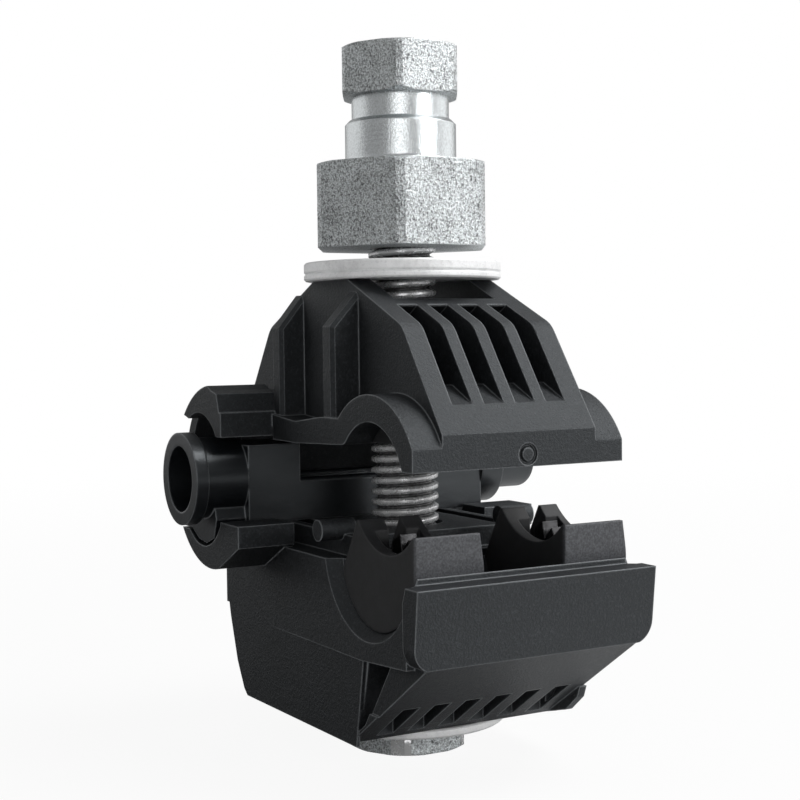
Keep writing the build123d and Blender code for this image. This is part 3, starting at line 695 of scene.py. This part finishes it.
def dress_jaws(kind, material):
    """Gives the left and right seals or blades of both jaws their material."""
    for jaw in ("lower", "upper"):
        for place in ("left", "right"):
            dress(f"{jaw}_{kind}_{place}", material)


class CONNECTOR_OT_bodies(bpy.types.Operator):
    """Gives both moulded bodies their nylon"""

    bl_idname = "connector.bodies"
    bl_label = "Finish Bodies"

    def execute(self, context):
        material = material_for(nylon, "moulded_nylon", context)
        dress("upper_body", material)
        base = merged_copy("lower_body", "moulded_base", material)
        trim_panel(base)
        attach(base, "lower_jaw")
        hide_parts("lower_body")
        return {"FINISHED"}


class CONNECTOR_OT_bolt(bpy.types.Operator):
    """Makes the bolt with a real thread in place of the plain one"""

    bl_idname = "connector.bolt"
    bl_label = "Make Bolt"

    def execute(self, context):
        sizes = context.scene.connector_sizes
        thread = material_for(bright_thread, "rolled_thread", context)
        head = material_for(tumbled_zinc, "bolt_head_zinc", context)
        bolt = merged_copy("bolt", "threaded_bolt", head)
        turns = sizes.thread_turns
        foot = BOLT_HIGH[2] - sizes.thread_pitch * turns
        mesh = grown("thread", thread_tree(), {
            "Centre": tuple(BOLT_AXIS), "Foot": foot, "Radius": sizes.thread_radius,
            "Depth": sizes.thread_depth, "Pitch": sizes.thread_pitch, "Turns": turns,
            "Segments": sizes.thread_segments, "Rows": sizes.thread_rows, "Material": thread})
        # The plain shank is cut off inside the base, and the thread goes on from there
        add_thread(bolt, mesh, foot + THREAD_OVERLAP * sizes.thread_pitch)
        bolt.data.materials.append(thread)
        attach(bolt, "lower_jaw")
        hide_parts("bolt")
        return {"FINISHED"}


class CONNECTOR_OT_nut(bpy.types.Operator):
    """Gives the shear nut its tumbled zinc"""

    bl_idname = "connector.nut"
    bl_label = "Finish Nut"

    def execute(self, context):
        dress("shear_nut", material_for(tumbled_zinc, "tumbled_zinc", context))
        return {"FINISHED"}


class CONNECTOR_OT_washers(bpy.types.Operator):
    """Gives the three washers their galvanised steel"""

    bl_idname = "connector.washers"
    bl_label = "Finish Washers"

    def execute(self, context):
        material = material_for(galvanised, "galvanised_washer", context)
        for node in ("under_washer", "load_washer", "head_washer"):
            dress(node, material)
        return {"FINISHED"}


class CONNECTOR_OT_sleeve(bpy.types.Operator):
    """Makes the soft tap sleeve, with a foot under its tube, and its end cap"""

    bl_idname = "connector.sleeve"
    bl_label = "Make Sleeve"

    def execute(self, context):
        sizes = context.scene.connector_sizes
        material = material_for(smooth_rubber, "sleeve_rubber", context)
        for node, name in (("tap_sleeve", "soft_sleeve"), ("end_cap", "soft_end_cap")):
            piece = merged_copy(node, name, material)
            if node == "tap_sleeve":
                add_foot(piece, sizes)
            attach(piece, "lower_jaw")
            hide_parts(node)
            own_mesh(piece)
        return {"FINISHED"}


class CONNECTOR_OT_seals(bpy.types.Operator):
    """Gives the main seals their matte rubber"""

    bl_idname = "connector.seals"
    bl_label = "Finish Seals"

    def execute(self, context):
        dress_jaws("main_seal", material_for(seal_rubber, "seal_rubber", context))
        return {"FINISHED"}


class CONNECTOR_OT_blades(bpy.types.Operator):
    """Gives the contact blades their greased faces"""

    bl_idname = "connector.blades"
    bl_label = "Finish Blades"

    def execute(self, context):
        dress_jaws("blade", material_for(tinned, "tinned_blade", context))
        return {"FINISHED"}


def floor_material(stage):
    """A pale floor that keeps the object's shadow and fades to the background's white."""
    finish = Finish("studio_floor")
    mirrored = finish.node("ShaderNodeLightPath", output="Is Glossy Ray")
    across = finish.part("X")
    reach = finish.node(
        "ShaderNodeVectorMath", {0: finish.place}, output="Value", operation="LENGTH")
    kept = across.between(*FLOOR_SIDE) * (1 - reach.between(*FLOOR_NEAR) * 0.6)
    finish.set(
        Base_Color=finish.mix(stage.floor, stage.floor_mirrored, mirrored * (1 - kept)),
        Roughness=0.9, Specular_IOR_Level=0.1)
    distant = reach.between(*FLOOR_FAR)
    camera = finish.node("ShaderNodeLightPath", output="Is Camera Ray")
    seen = camera * (stage.floor_seen + distant * (1 - stage.floor_seen))
    glow = finish.node("ShaderNodeEmission", {"Color": (1, 1, 1), "Strength": 1.0})
    both = finish.node(
        "ShaderNodeMixShader", {0: seen, 1: Signal(finish, finish.surface.outputs[0]), 2: glow})
    finish.feed(finish.tree.nodes["Material Output"].inputs["Surface"], both)
    return finish.material


def studio_world(stage):
    """White where the camera sees it, and an even dim light for the rest."""
    world = bpy.data.worlds.new("studio_air")
    world.use_nodes = True
    air = Tree(world.node_tree)
    camera = air.node("ShaderNodeLightPath", output="Is Camera Ray")
    background = world.node_tree.nodes["Background"]
    background.inputs["Color"].default_value = (1, 1, 1, 1)
    air.feed(background.inputs["Strength"], camera * (1 - stage.ambient) + stage.ambient)
    return world


def softbox(name, place, size, power):
    """A square lamp that faces the connector."""
    lamp = bpy.data.lights.new(name, "AREA")
    lamp.shape = "SQUARE"
    lamp.size = size
    lamp.energy = power
    box = placed(name, lamp)
    box.location = place
    box.rotation_mode = "QUATERNION"
    box.rotation_quaternion = (Vector(place) - Vector(LAMP_TARGET)).to_track_quat("Z", "Y")


def photo_camera():
    """The camera where the photograph was taken, in the frame's metres."""
    turn, dip, tilt = (math.radians(v) for v in (CAMERA_TURN, CAMERA_DIP, CAMERA_TILT))
    ahead = Vector((
        math.sin(turn) * math.cos(dip), math.cos(turn) * math.cos(dip), -math.sin(dip)))
    level = Vector((math.cos(turn), -math.sin(turn), 0))
    below = ahead.cross(level)
    right = level * math.cos(tilt) + below * math.sin(tilt)
    down = below * math.cos(tilt) - level * math.sin(tilt)
    lens = bpy.data.cameras.new("photo_camera")
    lens.sensor_width = SENSOR_WIDTH
    lens.lens = SENSOR_WIDTH * FOCAL_PIXELS / PHOTO_PIXELS
    lens.clip_start = CLIP_START
    camera = placed("photo_camera", lens)
    place = Vector(CAMERA_PLACE) * MM
    camera.matrix_world = Matrix((
        (right.x, -down.x, -ahead.x, place.x),
        (right.y, -down.y, -ahead.y, place.y),
        (right.z, -down.z, -ahead.z, place.z),
        (0, 0, 0, 1)))
    bpy.context.scene.camera = camera


class CONNECTOR_OT_stage(bpy.types.Operator):
    """Sets up the floor, the backdrop, the softboxes and the camera"""

    bl_idname = "connector.stage"
    bl_label = "Set Stage"

    def execute(self, context):
        stage = context.scene.connector_stage
        mesh = bpy.data.meshes.new("studio_floor")
        ground = Matrix.Translation((0, 0, CAD_BOX[0][2]))
        with editing(mesh) as grid:
            bmesh.ops.create_circle(
                grid, cap_ends=True, segments=FLOOR_POINTS, radius=FLOOR_RADIUS, matrix=ground)
        mesh.materials.append(floor_material(stage))
        floor = placed("studio_floor", mesh)
        for name, power, place, size in SOFTBOXES:
            softbox(name, place, size, getattr(stage, power))
        context.scene.world = studio_world(stage)
        photo_camera()
        context.scene.view_settings.view_transform = "Standard"
        return {"FINISHED"}


OPERATORS = (
    CONNECTOR_OT_bodies, CONNECTOR_OT_bolt, CONNECTOR_OT_nut, CONNECTOR_OT_washers,
    CONNECTOR_OT_sleeve, CONNECTOR_OT_seals, CONNECTOR_OT_blades, CONNECTOR_OT_stage,
)


class CONNECTOR_PT_sidebar(bpy.types.Panel):
    """The connector's pieces and settings in the sidebar"""

    bl_idname = "CONNECTOR_PT_sidebar"
    bl_label = "Insulation Piercing Connector"
    bl_space_type = "VIEW_3D"
    bl_region_type = "UI"
    bl_category = "Connector"

    def draw(self, context):
        for group, place in GROUPS:
            for name in group.__annotations__:
                self.layout.prop(getattr(context.scene, place), name)
        for operator in OPERATORS:
            self.layout.operator(operator.bl_idname)


GROUPS = (
    (ConnectorSizes, "connector_sizes"),
    (ConnectorColours, "connector_colours"),
    (StageSettings, "connector_stage"),
)


def register():
    for group, name in GROUPS:
        bpy.utils.register_class(group)
        setattr(bpy.types.Scene, name, bpy.props.PointerProperty(type=group))
    for operator in OPERATORS:
        bpy.utils.register_class(operator)
    bpy.utils.register_class(CONNECTOR_PT_sidebar)


def unregister():
    bpy.utils.unregister_class(CONNECTOR_PT_sidebar)
    for operator in reversed(OPERATORS):
        bpy.utils.unregister_class(operator)
    for group, name in reversed(GROUPS):
        delattr(bpy.types.Scene, name)
        bpy.utils.unregister_class(group)


def main():
    register()
    bpy.ops.connector.bodies()
    bpy.ops.connector.bolt()
    bpy.ops.connector.nut()
    bpy.ops.connector.washers()
    bpy.ops.connector.sleeve()
    bpy.ops.connector.seals()
    bpy.ops.connector.blades()
    bpy.ops.connector.stage()
    bpy.context.view_layer.update()


if __name__ == "__main__":
    main()
